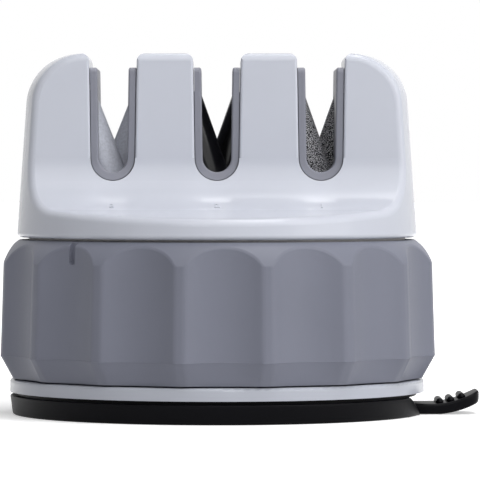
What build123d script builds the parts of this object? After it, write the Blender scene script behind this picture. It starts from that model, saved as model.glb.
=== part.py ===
# Pull through knife sharpener with three slots, on a suction base that a turn of the dial locks.
# Millimetres. +Z is up, the front is -Y, and the origin is the middle of the pad's underside.

from build123d import *
from math import asin, cos, degrees, radians, sin
import os

os.makedirs("parts", exist_ok=True)

# Clearances that several pieces share
running_play = 0.10
end_play = 0.10
seat_play = 0.05
drop_play = 0.25
overrun = 6.0

# Suction pad, moulded in rubber with its release tab
pad_set_back = 0.1
pad_rim_height = 3.8
pad_rim_taper = 0.4
pad_rim_width = 7.0
pad_foot_chamfer = 0.4
pad_skin = 2.0
pad_neck_inset = 1.4
pad_neck_height = 0.7
pad_key_inset = 3.8
pad_key_width = 1.5
pad_key_height = 1.5
pad_boss_radius = 9.5
pad_boss_height = 1.6
tab_width = 12.0
tab_reach = 11.3
tab_root_length = 2.0
tab_root_thickness = 2.1
tab_tip_thickness = 2.5
tab_lift = 2.4
tab_edge_round = 0.6
tab_corner_round = 3.0
tab_rib_radius = 0.75
tab_rib_spacing = 2.15
tab_rib_count = 3
tab_rib_start = 3.5
tab_rib_rise = 0.25
tab_rib_inset = 1.2
relief_top_width = 31.0
relief_foot_width = 13.0
relief_depth = 3.4

# Stud moulded into the middle of the pad
stud_cover = 1.0
stud_flange_radius = 7.0
stud_flange_thickness = 1.2
stud_stem_radius = 2.5
stud_stem_length = 8.0

# Base plate with its guide column
base_lip = 0.1
flange_thickness = 2.5
flange_top_round = 0.6
flange_foot_round = 0.3
web_rise = 2.5
web_thickness = 2.4
web_inset = 4.1
step_wall = 2.4
column_radius = 15.0
column_wall = 2.2
column_boss_radius = 3.3
column_boss_reach = 10.4
base_rib_count = 8
base_rib_thickness = 1.6
base_rib_height = 2.0
base_rib_start = 20.5

# Lifting pin, plunger and travel
pin_radius = 1.5
pin_rise = 7.6
pad_travel = 3.0
lock_turn = 90.0
plunger_flat = 6.8
plunger_foot_gap = 0.4
plunger_height = 12.7
plunger_stem_radius = 4.0
plunger_edge = 0.5

# Return spring
spring_radius = 5.4
spring_wire_radius = 0.55
spring_wire_sides = 8
spring_turns = 5

# Thrust washers above and below the turning parts
washer_thickness = 1.0
washer_width = 3.6

# Cam sleeve
sleeve_wall = 3.0
sleeve_flange_reach = 24.5
sleeve_flange_thickness = 3.0
cam_screw_reach = 21.4
cam_screw_count = 4
cam_boss_radius = 2.8

# Locking dial
dial_gap = 0.3
dial_radius = 43.55
dial_height = 27.2
dial_foot_inset = 2.55
dial_parting_height = 4.5
dial_lean = 0.75
dial_top_inset = 4.25
dial_shoulder_inset = 0.55
dial_shoulder_drop = 4.6
dial_shoulder_bulge = 0.44
dial_end_round = 0.8
dial_wall = 5.95
dial_deck_thickness = 2.5
dial_rib_count = 8
dial_rib_thickness = 1.6
dial_rib_height = 9.0
flute_count = 16
flute_turn = 1.8
flute_depth = 2.4
flute_foot_depth = 1.0
ridge_width = 2.2
ridge_round = 2.0
notch_flutes_left = 2
notch_width = 1.6
notch_height = 4.5
notch_depth = 0.8

# Screws
small_screw_radius = 1.1
small_head_radius = 2.1
small_head_height = 1.5
small_screw_grip = 7.0
long_screw_radius = 1.5
long_head_radius = 2.8
long_head_height = 1.9
screw_room = 0.2

# Floor plate of the head
head_gap = 0.5
floor_rise = 0.2
floor_thickness = 1.7
hub_depth = 2.2
skirt_width = 1.2
skirt_depth = 1.4
spigot_radius = 4.5
spigot_length = 2.5

# Head shell
head_lip = 0.4
head_height = 36.2
head_lean_share = 0.0692
head_corner_gap = 6.5
head_foot_round = 0.8
head_edge_round = 1.6
head_wall = 1.8
slab_half_top = 11.5
slab_half_foot = 12.25
slab_foot_height = 6.0
deck_height = 3.8
deck_slope_share = 0.0927
scoop_radius = 10.5
shell_boss_radius = 2.5
shell_boss_inset = 5.8
shell_boss_height = 14.0
shell_boss_web = 1.6
post_lip_depth = 5.7
post_lip_wall = 1.2

# Knife slots
slot_spacing = 20.4
slot_count = 3
slot_bottom_height = 11.15
slot_bottom_radius = 4.37
slot_draft = 0.9
slot_mouth_round = 1.6
slot_edge_round = 0.5

# Grey core that lines the slots and holds the rods
liner_gap = 0.15
liner_rim = 1.42
liner_sole = 1.55
liner_recess = 0.45
liner_drop = 2.8
liner_top_round = 1.1
liner_edge_round = 0.4
split_gap = 0.15
core_end_gap = 0.8
core_foot_thickness = 2.0
core_half_depth = 9.2
core_web_thickness = 1.6
core_web_drop = 8.3
core_boss_radius = 2.6
core_boss_inset = 3.1
core_boss_offset = 5.2
core_boss_height = 9.0

# Sharpening rods, crossed in each slot
rod_radius = 3.5
rod_gap = 1.0
rod_end_chamfer = 0.4
rod_sleeve_wall = 1.2
rod_cap = 1.2
rod_cross_height = 19.6
rod_top_drop = 8.2
rod_foot_height = 7.4
fine_rod_lean = 21.5
other_rod_lean = 19.4

# Heights of the stack, from the table up
neck_top = pad_rim_height + pad_neck_height
base_bottom = neck_top
base_top = base_bottom + flange_thickness
web_bottom = base_bottom + web_rise
web_top = web_bottom + web_thickness
dial_bottom = base_top + dial_gap
dial_top = dial_bottom + dial_height
head_bottom = dial_top + head_gap
head_top = head_bottom + head_height
floor_bottom = head_bottom + floor_rise
floor_top = floor_bottom + floor_thickness
column_top = floor_bottom - hub_depth
sleeve_bottom = web_top + washer_thickness + end_play
sleeve_top = floor_bottom - washer_thickness - 2 * end_play
deck_top = sleeve_top - sleeve_flange_thickness
deck_bottom = deck_top - dial_deck_thickness
pin_height = web_top + pin_rise

# Radii and reaches that follow the dial's radius
dial_bore_radius = dial_radius - dial_wall
base_radius = dial_radius - dial_foot_inset + base_lip
web_radius = dial_bore_radius - web_inset
pad_radius = base_radius - pad_set_back
pad_key_radius = pad_radius - pad_key_inset
head_radius = dial_radius - dial_top_inset + head_lip
slot_reach = slot_spacing * (slot_count - 1) / 2
head_top_reach = head_radius - head_lean_share * head_height
head_corner_round = head_top_reach - slot_reach - head_corner_gap
shell_boss_reach = head_radius - shell_boss_inset
core_half_length = shell_boss_reach - shell_boss_radius - core_end_gap
core_boss_reach = core_half_length - core_boss_inset

# Column bore and cam sleeve
column_bore = column_radius - column_wall
sleeve_bore = column_radius + running_play
sleeve_radius = sleeve_bore + sleeve_wall


def ring_disc(outer, inner, bottom, height):
    """Flat ring whose axis is the dial's axis."""
    with BuildPart() as ring:
        with BuildSketch(Plane.XY.offset(bottom)):
            Circle(outer)
            Circle(inner, mode=Mode.SUBTRACT)
        extrude(amount=height)
    return ring.part


def pan_screw(shank_radius, head_radius, head_height, length):
    """Pan head screw whose head seats at zero height and whose shank points up."""
    with BuildPart() as screw:
        with BuildSketch(Plane.XY):
            Circle(shank_radius)
        extrude(amount=length)
        chamfer(screw.faces().sort_by(Axis.Z)[-1].edges(), shank_radius / 3)
        with BuildSketch(Plane.XY):
            Circle(head_radius)
        extrude(amount=-head_height)
        fillet(screw.faces().sort_by(Axis.Z)[0].edges(), head_height / 3)
    return screw.part


small_screw = pan_screw(small_screw_radius, small_head_radius, small_head_height, small_screw_grip)

# Suction pad: a rubber disc with a thick rim, a key ring that grips the base plate, and a release tab
pad_rim_bore = pad_radius - pad_rim_width
tab_heel = pad_radius - relief_depth - pad_neck_inset
tab_root = pad_radius - pad_rim_taper
tab_bend = tab_root + tab_root_length
tab_end = tab_root + tab_reach
tab_curl_length = tab_end - tab_bend
tab_top_lift = tab_lift + tab_tip_thickness - tab_root_thickness
relief_apex = -pad_rim_height * relief_foot_width / (relief_top_width - relief_foot_width)


def tab_top(reach):
    """Height of the tab's top face at a distance from the dial's axis."""
    curl_share = max(0, reach - tab_bend) / tab_curl_length
    return tab_root_thickness + tab_top_lift * curl_share**2


with BuildPart() as release_tab:
    with BuildSketch(Plane.XZ):
        with BuildLine():
            Polyline(
                (tab_bend, tab_root_thickness),
                (tab_heel, tab_root_thickness),
                (tab_heel, 0),
                (tab_bend, 0),
            )
            Spline(
                (tab_bend, 0),
                (tab_end, tab_lift),
                tangents=((1, 0), (tab_curl_length, 2 * tab_lift)),
            )
            Line((tab_end, tab_lift), (tab_end, tab_top(tab_end)))
            Spline(
                (tab_end, tab_top(tab_end)),
                (tab_bend, tab_root_thickness),
                tangents=((-tab_curl_length, -2 * tab_top_lift), (-1, 0)),
            )
        make_face()
    extrude(amount=tab_width / 2, both=True)
    with BuildSketch(Plane.XY) as tab_plan:
        with Locations(((tab_heel + tab_end) / 2, 0)):
            Rectangle(tab_end - tab_heel, tab_width)
        fillet(tab_plan.vertices().group_by(Axis.X)[-1], tab_corner_round)
    extrude(amount=neck_top + tab_lift, mode=Mode.INTERSECT)
    fillet(release_tab.faces().sort_by(Axis.X)[-1].edges(), tab_edge_round)

with BuildPart() as tab_ribs:
    for place in range(tab_rib_count):
        rib_reach = tab_root + tab_rib_start + tab_rib_spacing * place
        with BuildSketch(Plane.XZ):
            with Locations((rib_reach, tab_top(rib_reach) + tab_rib_rise)):
                Circle(tab_rib_radius)
        extrude(amount=tab_width / 2 - tab_rib_inset, both=True)

with BuildPart() as suction_pad:
    with BuildSketch(Plane.XZ) as pad_side:
        with BuildLine():
            Polyline(
                (0, 0),
                (pad_radius - pad_rim_taper, 0),
                (pad_radius, pad_rim_height),
                (pad_radius - pad_neck_inset, pad_rim_height),
                (pad_radius - pad_neck_inset, neck_top),
                (pad_rim_bore, neck_top),
                (pad_rim_bore, pad_skin),
                (pad_boss_radius, pad_skin),
                (pad_boss_radius, pad_skin + pad_boss_height),
                (0, pad_skin + pad_boss_height),
                close=True,
            )
        make_face()
        chamfer(pad_side.vertices().group_by(Axis.Y)[0].sort_by(Axis.X)[-1], pad_foot_chamfer)
    revolve(axis=Axis.Z)
    with BuildSketch(Plane.XY.offset(neck_top)):
        Circle(pad_key_radius + pad_key_width / 2)
        Circle(pad_key_radius - pad_key_width / 2, mode=Mode.SUBTRACT)
    extrude(amount=pad_key_height)
    # pocket and hole for the stud
    with BuildSketch(Plane.XY.offset(stud_cover - seat_play)):
        Circle(stud_flange_radius + seat_play)
    extrude(amount=stud_flange_thickness + 2 * seat_play, mode=Mode.SUBTRACT)
    with BuildSketch(Plane.XY.offset(stud_cover)):
        Circle(stud_stem_radius + seat_play)
    extrude(amount=pad_skin + pad_boss_height, mode=Mode.SUBTRACT)
    # relief in the rim on each side of the tab
    with BuildSketch(Plane.YZ.offset(pad_radius - relief_depth)):
        with BuildLine():
            Polyline(
                (0, relief_apex),
                (relief_top_width / 2, pad_rim_height),
                (-relief_top_width / 2, pad_rim_height),
                close=True,
            )
        make_face()
    extrude(amount=relief_depth + overrun, mode=Mode.SUBTRACT)
    add(release_tab.part)
    add(tab_ribs.part)
suction_pad.part.label = "suction_pad"
export_step(suction_pad.part, "parts/suction_pad.step")

# Pad stud: a steel disc moulded into the pad, with a stem that screws up into the plunger
stud_seat = stud_cover + stud_flange_thickness
with BuildPart() as pad_stud:
    with BuildSketch(Plane.XY.offset(stud_cover)):
        Circle(stud_flange_radius)
    extrude(amount=stud_flange_thickness)
    with BuildSketch(Plane.XY.offset(stud_seat)):
        Circle(stud_stem_radius)
    extrude(amount=stud_stem_length)
    chamfer(pad_stud.faces().sort_by(Axis.Z)[-1].edges(), stud_stem_radius / 4)
pad_stud.part.label = "pad_stud"
export_step(pad_stud.part, "parts/pad_stud.step")

# Base plate: a ring that presses the pad's rim down, with a raised web and a column that guides the plunger
step_radius = web_radius + step_wall
stem_bore = plunger_stem_radius + running_play
with BuildPart() as base_plate:
    with BuildSketch(Plane.XZ) as plate_side:
        with BuildLine():
            Polyline(
                (stem_bore, web_bottom),
                (web_radius, web_bottom),
                (web_radius, base_bottom),
                (base_radius, base_bottom),
                (base_radius, base_top),
                (step_radius, base_top),
                (step_radius, web_top),
                (column_radius, web_top),
                (column_radius, column_top),
                (column_bore, column_top),
                (column_bore, web_top),
                (stem_bore, web_top),
                close=True,
            )
        make_face()
        rim_corners = plate_side.vertices().group_by(Axis.X)[-1].sort_by(Axis.Y)
        fillet(rim_corners[-1], flange_top_round)
        fillet(rim_corners[0], flange_foot_round)
    revolve(axis=Axis.Z)
    # groove for the pad's key ring
    with BuildSketch(Plane.XY.offset(base_bottom)):
        Circle(pad_key_radius + pad_key_width / 2 + seat_play)
        Circle(pad_key_radius - pad_key_width / 2 - seat_play, mode=Mode.SUBTRACT)
    extrude(amount=pad_key_height + seat_play, mode=Mode.SUBTRACT)
    # stiffening ribs on the web
    with BuildSketch(Plane.XY.offset(web_top)):
        with PolarLocations((base_rib_start + step_radius - step_wall / 2) / 2, base_rib_count):
            Rectangle(step_radius - step_wall / 2 - base_rib_start, base_rib_thickness)
    extrude(amount=base_rib_height)
    # bosses and holes for the two long screws
    with BuildSketch(Plane.XY.offset(web_bottom)):
        with Locations((column_boss_reach, 0), (-column_boss_reach, 0)):
            Circle(column_boss_radius)
    extrude(amount=column_top - web_bottom)
    with BuildSketch(Plane.XY.offset(web_bottom)):
        with Locations((column_boss_reach, 0), (-column_boss_reach, 0)):
            Circle(long_screw_radius + seat_play)
    extrude(amount=column_top - web_bottom, mode=Mode.SUBTRACT)
    with BuildSketch(Plane.XY.offset(web_bottom)):
        with Locations((column_boss_reach, 0), (-column_boss_reach, 0)):
            Circle(long_head_radius + screw_room)
    extrude(amount=long_head_height + screw_room, mode=Mode.SUBTRACT)
    # upright slots that keep the cross pin from turning
    with BuildSketch(Plane.XZ):
        with Locations((0, pin_height + pad_travel / 2)):
            SlotCenterToCenter(pad_travel, 2 * (pin_radius + running_play), rotation=90)
    extrude(amount=column_radius + overrun, both=True, mode=Mode.SUBTRACT)
base_plate.part.label = "base_plate"
export_step(base_plate.part, "parts/base_plate.step")

# Long screws that come up through the column into the head's floor
long_seat = web_bottom + screw_room + long_head_height
long_grip = floor_top - long_seat - end_play
with BuildPart() as column_screws:
    with Locations((column_boss_reach, 0, long_seat), (-column_boss_reach, 0, long_seat)):
        add(pan_screw(long_screw_radius, long_head_radius, long_head_height, long_grip))
column_screws.part.label = "column_screws"
export_step(column_screws.part, "parts/column_screws.step")

# Plunger: slides in the column between the screw bosses and carries the stud on its stem
plunger_bottom = web_top + plunger_foot_gap
plunger_top = plunger_bottom + plunger_height
stem_bottom = pad_skin + pad_boss_height + end_play
with BuildPart() as lift_plunger:
    with BuildSketch(Plane.XY.offset(plunger_bottom)):
        Circle(column_bore - running_play)
        Rectangle(2 * plunger_flat, 2 * column_bore, mode=Mode.INTERSECT)
    extrude(amount=plunger_height)
    chamfer(lift_plunger.faces().filter_by(Axis.Z).edges(), plunger_edge)
    with BuildSketch(Plane.XY.offset(stem_bottom)):
        Circle(plunger_stem_radius)
    extrude(amount=plunger_bottom - stem_bottom + plunger_edge)
    with BuildSketch(Plane.XY.offset(stem_bottom)):
        Circle(stud_stem_radius + seat_play)
    extrude(amount=stud_seat + stud_stem_length + end_play - stem_bottom, mode=Mode.SUBTRACT)
    with BuildSketch(Plane.XZ):
        with Locations((0, pin_height)):
            Circle(pin_radius + seat_play)
    extrude(amount=column_bore, both=True, mode=Mode.SUBTRACT)
lift_plunger.part.label = "lift_plunger"
export_step(lift_plunger.part, "parts/lift_plunger.step")

# Cross pin: reaches from the plunger through the column's slots into the cam sleeve
with BuildPart() as cross_pin:
    with BuildSketch(Plane.XZ):
        with Locations((0, pin_height)):
            Circle(pin_radius)
    extrude(amount=sleeve_radius - running_play, both=True)
    chamfer(cross_pin.faces().filter_by(Axis.Y).edges(), pin_radius / 4)
cross_pin.part.label = "cross_pin"
export_step(cross_pin.part, "parts/cross_pin.step")

# Return spring between the plunger and the head's floor
spring_foot = plunger_top + spring_wire_radius + end_play
spring_height = column_top - spring_wire_radius - end_play - spring_foot
with BuildPart() as return_spring:
    with BuildLine() as spring_line:
        Helix(spring_height / spring_turns, spring_height, spring_radius, center=(0, 0, spring_foot))
    with BuildSketch(Plane(spring_line.line @ 0, z_dir=spring_line.line % 0)):
        RegularPolygon(spring_wire_radius, spring_wire_sides)
    sweep(path=spring_line.line, is_frenet=True)
return_spring.part.label = "return_spring"
export_step(return_spring.part, "parts/return_spring.step")

# Thrust washers under the cam sleeve and over it
washer_bore = column_radius + seat_play
washer_radius = washer_bore + washer_width
with BuildPart() as lower_washer:
    add(ring_disc(washer_radius, washer_bore, web_top, washer_thickness))
lower_washer.part.label = "lower_washer"
export_step(lower_washer.part, "parts/lower_washer.step")

with BuildPart() as upper_washer:
    add(ring_disc(washer_radius, washer_bore, sleeve_top + end_play, washer_thickness))
upper_washer.part.label = "upper_washer"
export_step(upper_washer.part, "parts/upper_washer.step")

# Cam sleeve: two rising slots lift the cross pin as the dial turns
cam_radius = sleeve_bore + sleeve_wall / 2
cam_room = pin_radius + running_play
cam_end_turn = degrees(cam_room / sleeve_bore)
cam_pitch = pad_travel * 360 / lock_turn
cam_rise = pad_travel * (lock_turn + 2 * cam_end_turn) / lock_turn
cam_foot = pin_height - pad_travel * cam_end_turn / lock_turn
with BuildPart() as cam_slot:
    with BuildLine() as cam_path:
        Helix(cam_pitch, cam_rise, cam_radius, center=(0, 0, cam_foot), lefthand=True)
    with BuildSketch(Plane(cam_path.line @ 0, x_dir=(1, 0, 0), z_dir=cam_path.line % 0)):
        Rectangle(2 * sleeve_wall, 2 * cam_room)
    sweep(path=cam_path.line, is_frenet=True)

with BuildPart() as cam_sleeve:
    with BuildSketch(Plane.XY.offset(sleeve_bottom)):
        Circle(sleeve_radius)
    extrude(amount=sleeve_top - sleeve_bottom)
    with BuildSketch(Plane.XY.offset(deck_top)):
        Circle(sleeve_flange_reach)
    extrude(amount=sleeve_flange_thickness)
    with BuildSketch(Plane.XY.offset(sleeve_bottom)):
        Circle(sleeve_bore)
    extrude(amount=sleeve_top - sleeve_bottom, mode=Mode.SUBTRACT)
    for slot_turn in (90, -90):
        add(cam_slot.part.rotate(Axis.Z, slot_turn + cam_end_turn), mode=Mode.SUBTRACT)
    with Locations((0, 0, sleeve_top)):
        with PolarLocations(cam_screw_reach, cam_screw_count):
            CounterBoreHole(
                small_screw_radius + seat_play,
                small_head_radius + screw_room,
                small_head_height + screw_room,
            )
cam_sleeve.part.label = "cam_sleeve"
export_step(cam_sleeve.part, "parts/cam_sleeve.step")

# Locking dial: sixteen finger flutes between rounded ridges, a chamfered shoulder and a deck inside
flute_half_angle = 180 / flute_count - degrees(asin(ridge_width / 2 / dial_radius))


def fluted_outline(radius, depth, height):
    """Closed outline with a shallow scoop for each finger and rounded ridges between the scoops."""
    half_chord = radius * sin(radians(flute_half_angle))
    chord_depth = radius * cos(radians(flute_half_angle)) - radius + depth
    scoop = (half_chord**2 + chord_depth**2) / (2 * chord_depth)
    with BuildSketch(Plane.XY.offset(height)) as outline:
        Circle(radius)
        with PolarLocations(radius - depth + scoop, flute_count, start_angle=flute_turn - 90):
            Circle(scoop, mode=Mode.SUBTRACT)
        fillet(outline.vertices(), ridge_round)
    return outline.sketch


dial_top_radius = dial_radius - dial_top_inset
dial_shoulder_radius = dial_radius - dial_shoulder_inset
shoulder_chord = Vector(dial_shoulder_radius - dial_top_radius, -dial_shoulder_drop)
shoulder_out = Vector(dial_shoulder_drop, shoulder_chord.X).normalized()
shoulder_top = Vector(dial_top_radius, dial_top)
shoulder_middle = shoulder_top + shoulder_chord / 2 + shoulder_out * dial_shoulder_bulge
dial_wall_end = dial_bore_radius + (dial_top_radius - dial_bore_radius) / 2
deck_bore = sleeve_radius + running_play
dial_rib_middle = (deck_bore + dial_wall_end) / 2
notch_turn = radians(flute_turn - 360 / flute_count * notch_flutes_left)
notch_out = Vector(sin(notch_turn), -cos(notch_turn), 0)
notch_along = Vector(0, 0, 1).cross(notch_out)
notch_floor = dial_radius - flute_depth - dial_lean - notch_depth
with BuildPart() as dial_ring:
    foot_line = fluted_outline(dial_radius - dial_foot_inset, flute_foot_depth, dial_bottom)
    parting_line = fluted_outline(dial_radius, flute_depth, dial_bottom + dial_parting_height)
    top_line = fluted_outline(dial_radius - dial_lean, flute_depth, dial_top)
    loft([foot_line, parting_line], ruled=True)
    loft([parting_line, top_line], ruled=True)
    # rounded shoulder in which the flutes run out
    with BuildSketch(Plane.XZ):
        with BuildLine():
            Polyline(
                (dial_shoulder_radius, dial_top - dial_shoulder_drop),
                (dial_radius + overrun, dial_top - 3 * dial_shoulder_drop),
                (dial_radius + overrun, dial_bottom),
                (0, dial_bottom),
                (0, dial_top),
                (dial_top_radius, dial_top),
            )
            ThreePointArc(shoulder_top, shoulder_middle, shoulder_top + shoulder_chord)
        make_face()
    revolve(axis=Axis.Z, mode=Mode.INTERSECT)
    shoulder_edges = dial_ring.faces().filter_by(GeomType.TORUS).edges()
    fillet(shoulder_edges.sort_by(Axis.Z)[:-1], dial_end_round)
    # hollow under the deck and the shallow well over it
    with BuildSketch(Plane.XY.offset(dial_bottom)):
        Circle(dial_bore_radius)
    extrude(amount=deck_bottom - dial_bottom, mode=Mode.SUBTRACT)
    with BuildSketch(Plane.XY.offset(deck_top)):
        Circle(dial_bore_radius)
    extrude(amount=dial_top - deck_top, mode=Mode.SUBTRACT)
    # ribs, hub ring and screw bosses under the deck
    with BuildSketch(Plane.XY.offset(deck_bottom - dial_rib_height)):
        with PolarLocations(dial_rib_middle, dial_rib_count, start_angle=180 / dial_rib_count):
            Rectangle(dial_wall_end - deck_bore, dial_rib_thickness)
        Circle(deck_bore + dial_rib_thickness)
        with PolarLocations(cam_screw_reach, cam_screw_count):
            Circle(cam_boss_radius)
    extrude(amount=dial_rib_height)
    with BuildSketch(Plane.XY.offset(deck_bottom - dial_rib_height)):
        Circle(deck_bore)
    extrude(amount=deck_top - deck_bottom + dial_rib_height, mode=Mode.SUBTRACT)
    with Locations((0, 0, deck_top)):
        with PolarLocations(cam_screw_reach, cam_screw_count):
            Hole(small_screw_radius + seat_play, small_screw_grip + end_play)
    # pointer notch in one flute
    with BuildSketch(Plane(notch_out * notch_floor, x_dir=notch_along, z_dir=notch_out)):
        with Locations((0, dial_top - (notch_height - notch_width / 2) / 2)):
            Rectangle(notch_width, notch_height - notch_width / 2)
        with Locations((0, dial_top - notch_height + notch_width / 2)):
            Circle(notch_width / 2)
    extrude(amount=overrun, mode=Mode.SUBTRACT)
dial_ring.part.label = "dial_ring"
export_step(dial_ring.part, "parts/dial_ring.step")

# Screws that hold the cam sleeve's flange down on the dial's deck
cam_screw_seat = sleeve_top - small_head_height - screw_room
with BuildPart() as cam_screws:
    with Locations((0, 0, cam_screw_seat)):
        with PolarLocations(cam_screw_reach, cam_screw_count):
            add(small_screw.rotate(Axis.X, 180))
cam_screws.part.label = "cam_screws"
export_step(cam_screws.part, "parts/cam_screws.step")

# Floor of the head: a disc with a hub that stands on the column, bolted there by the long screws
core_screw_places = [
    (side_x * core_boss_reach, side_y * core_boss_offset) for side_x in (-1, 1) for side_y in (-1, 1)
]
shell_screw_places = [(-shell_boss_reach, 0), (shell_boss_reach, 0)]
with BuildPart() as head_floor:
    with BuildSketch(Plane.XY.offset(floor_bottom)):
        Circle(head_radius - head_wall - drop_play)
    extrude(amount=floor_thickness)
    # skirt that dips into the dial's well
    with BuildSketch(Plane.XY.offset(floor_bottom - skirt_depth)):
        Circle(dial_bore_radius - drop_play)
        Circle(dial_bore_radius - drop_play - skirt_width, mode=Mode.SUBTRACT)
    extrude(amount=skirt_depth)
    # hub, and the spigot that centres the spring
    with BuildSketch(Plane.XY.offset(column_top)):
        Circle(column_radius)
    extrude(amount=hub_depth)
    with BuildSketch(Plane.XY.offset(column_top - spigot_length)):
        Circle(spigot_radius)
    extrude(amount=spigot_length)
    chamfer(head_floor.faces().sort_by(Axis.Z)[0].edges(), spigot_radius / 8)
    with Locations((0, 0, floor_top)):
        with Locations((column_boss_reach, 0), (-column_boss_reach, 0)):
            Hole(long_screw_radius + seat_play)
        with Locations(*core_screw_places, *shell_screw_places):
            Hole(small_screw_radius + screw_room)
head_floor.part.label = "head_floor"
export_step(head_floor.part, "parts/head_floor.step")

# Small screws that come up through the floor into the core halves and the shell
with BuildPart() as core_screws:
    with Locations((0, 0, floor_bottom)):
        with Locations(*core_screw_places):
            add(small_screw)
core_screws.part.label = "core_screws"
export_step(core_screws.part, "parts/core_screws.step")

with BuildPart() as shell_screws:
    with Locations((0, 0, floor_bottom)):
        with Locations(*shell_screw_places):
            add(small_screw)
shell_screws.part.label = "shell_screws"
export_step(shell_screws.part, "parts/shell_screws.step")

# Places and outlines of the knife slots, which the shell and the core share
slot_places = [(slot_spacing * place - slot_reach, 0) for place in range(slot_count)]
slot_centre = head_bottom + slot_bottom_height + slot_bottom_radius
liner_radius = slot_bottom_radius - liner_gap
liner_bore = liner_radius - liner_rim
liner_bore_centre = slot_centre - liner_radius + liner_sole + liner_bore


def slot_outline(bottom_radius, centre_height, top_height, mouth_round=0):
    """U outline with a round bottom and drafted sides, its mouth flared by a round where one is given."""
    side = radians(slot_draft)
    foot = Vector(bottom_radius * cos(side), centre_height - bottom_radius * sin(side))
    top_half = (bottom_radius + (top_height - centre_height) * sin(side)) / cos(side)
    mouth_half = top_half + 2 * mouth_round
    with BuildSketch() as outline:
        with BuildLine():
            Line((-top_half, top_height), (-foot.X, foot.Y))
            ThreePointArc((-foot.X, foot.Y), (0, centre_height - bottom_radius), (foot.X, foot.Y))
            Line((foot.X, foot.Y), (top_half, top_height))
            if mouth_round:
                Polyline(
                    (top_half, top_height),
                    (mouth_half, top_height),
                    (mouth_half, top_height + overrun),
                    (-mouth_half, top_height + overrun),
                    (-mouth_half, top_height),
                    (-top_half, top_height),
                )
            else:
                Line((top_half, top_height), (-top_half, top_height))
        make_face()
        if mouth_round:
            lips = outline.vertices().filter_by(lambda v: abs(v.Y - top_height) < mouth_round / 2)
            fillet(lips.sort_by(Axis.X)[1:-1], mouth_round)
    return outline.sketch


slab_lean_share = (slab_half_foot - slab_half_top) / (head_height - slab_foot_height)


def head_form(inset, foot_height):
    """The head's outer form moved inward by an inset: a leaning puck cut to a slab over a sloping deck."""
    top_height = head_top - inset
    foot_reach = head_radius - inset - head_lean_share * (foot_height - head_bottom)
    top_reach = head_radius - inset - head_lean_share * (top_height - head_bottom)
    deck_rise = deck_slope_share * (head_radius - slab_half_foot)
    wall_foot_height = head_bottom + deck_height + deck_rise - inset
    wall_foot_drop = head_bottom + slab_foot_height - wall_foot_height
    wall_foot = slab_half_foot - inset + slab_lean_share * wall_foot_drop
    wall_top = slab_half_top - inset - slab_lean_share * overrun
    far = head_radius + overrun
    deck_end = head_bottom + deck_height - deck_slope_share * overrun - inset
    with BuildPart() as form:
        with BuildSketch(Plane.XZ) as side:
            with BuildLine():
                Polyline(
                    (0, foot_height),
                    (foot_reach, foot_height),
                    (top_reach, top_height),
                    (0, top_height),
                    close=True,
                )
            make_face()
            fillet(side.vertices().group_by(Axis.Y)[-1].sort_by(Axis.X)[-1], head_corner_round - inset)
        revolve(axis=Axis.Z)
        with BuildSketch(Plane.YZ) as face_cut:
            with BuildLine():
                Polyline(
                    (-wall_top, head_top + overrun),
                    (-wall_foot, wall_foot_height),
                    (-far, deck_end),
                    (-far, head_top + overrun),
                    close=True,
                )
            make_face()
            fillet(face_cut.vertices().sort_by(Axis.X)[-2], scoop_radius + inset)
        extrude(amount=far, both=True, mode=Mode.SUBTRACT)
        mirror(about=Plane.XZ, mode=Mode.INTERSECT)
    return form.part


def on_form_rim(edge):
    """True for the edges where the slab and deck cuts meet the leaning puck."""
    along_x = edge.bounding_box().size.Y + edge.bounding_box().size.Z < head_foot_round / 2
    level = edge.bounding_box().size.Z < head_foot_round / 8
    at_top = edge.center().Z > head_top - head_foot_round / 8
    at_seam = edge.bounding_box().size.Y < head_foot_round / 2 and abs(edge.center().Y) < head_foot_round / 2
    if at_top:
        return along_x
    return not along_x and not level and not at_seam


# Cutter that softens the slots' edges on the slab's leaning front and rear
slab_foot = Vector(0, -slab_half_foot, head_bottom + slab_foot_height)
slab_face = Plane(slab_foot, x_dir=(1, 0, 0), z_dir=(0, -1, slab_lean_share))
with BuildPart() as slab_skin:
    with BuildSketch(slab_face):
        Rectangle(2 * head_radius, 3 * head_height)
    extrude(amount=-2 * slot_edge_round)

with BuildPart() as soft_skin:
    add(slab_skin.part)
    with BuildSketch(Plane.XZ):
        with Locations(*slot_places):
            add(slot_outline(slot_bottom_radius, slot_centre, head_top + overrun))
    extrude(amount=head_radius, both=True, mode=Mode.SUBTRACT)
    slot_edges = soft_skin.edges(Select.LAST).group_by(Axis(slab_foot, slab_face.z_dir))[-1]
    fillet(slot_edges, slot_edge_round)

with BuildPart() as slot_softener:
    add(slab_skin.part)
    add(soft_skin.part, mode=Mode.SUBTRACT)
    mirror(about=Plane.XZ)

# Cavity of the shell, which leaves a lip on each side of a slot to close the posts' tops
lip_clearance_height = 2 * (head_top - post_lip_depth - slot_centre)
with BuildPart() as shell_cavity:
    add(head_form(head_wall, head_bottom - overrun))
    with BuildSketch(Plane.XZ):
        with Locations(*slot_places):
            add(slot_outline(slot_bottom_radius + post_lip_wall, slot_centre, head_top))
        with Locations((0, slot_centre)):
            Rectangle(slot_count * slot_spacing, lip_clearance_height, mode=Mode.SUBTRACT)
    extrude(amount=head_radius, both=True, mode=Mode.SUBTRACT)

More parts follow.
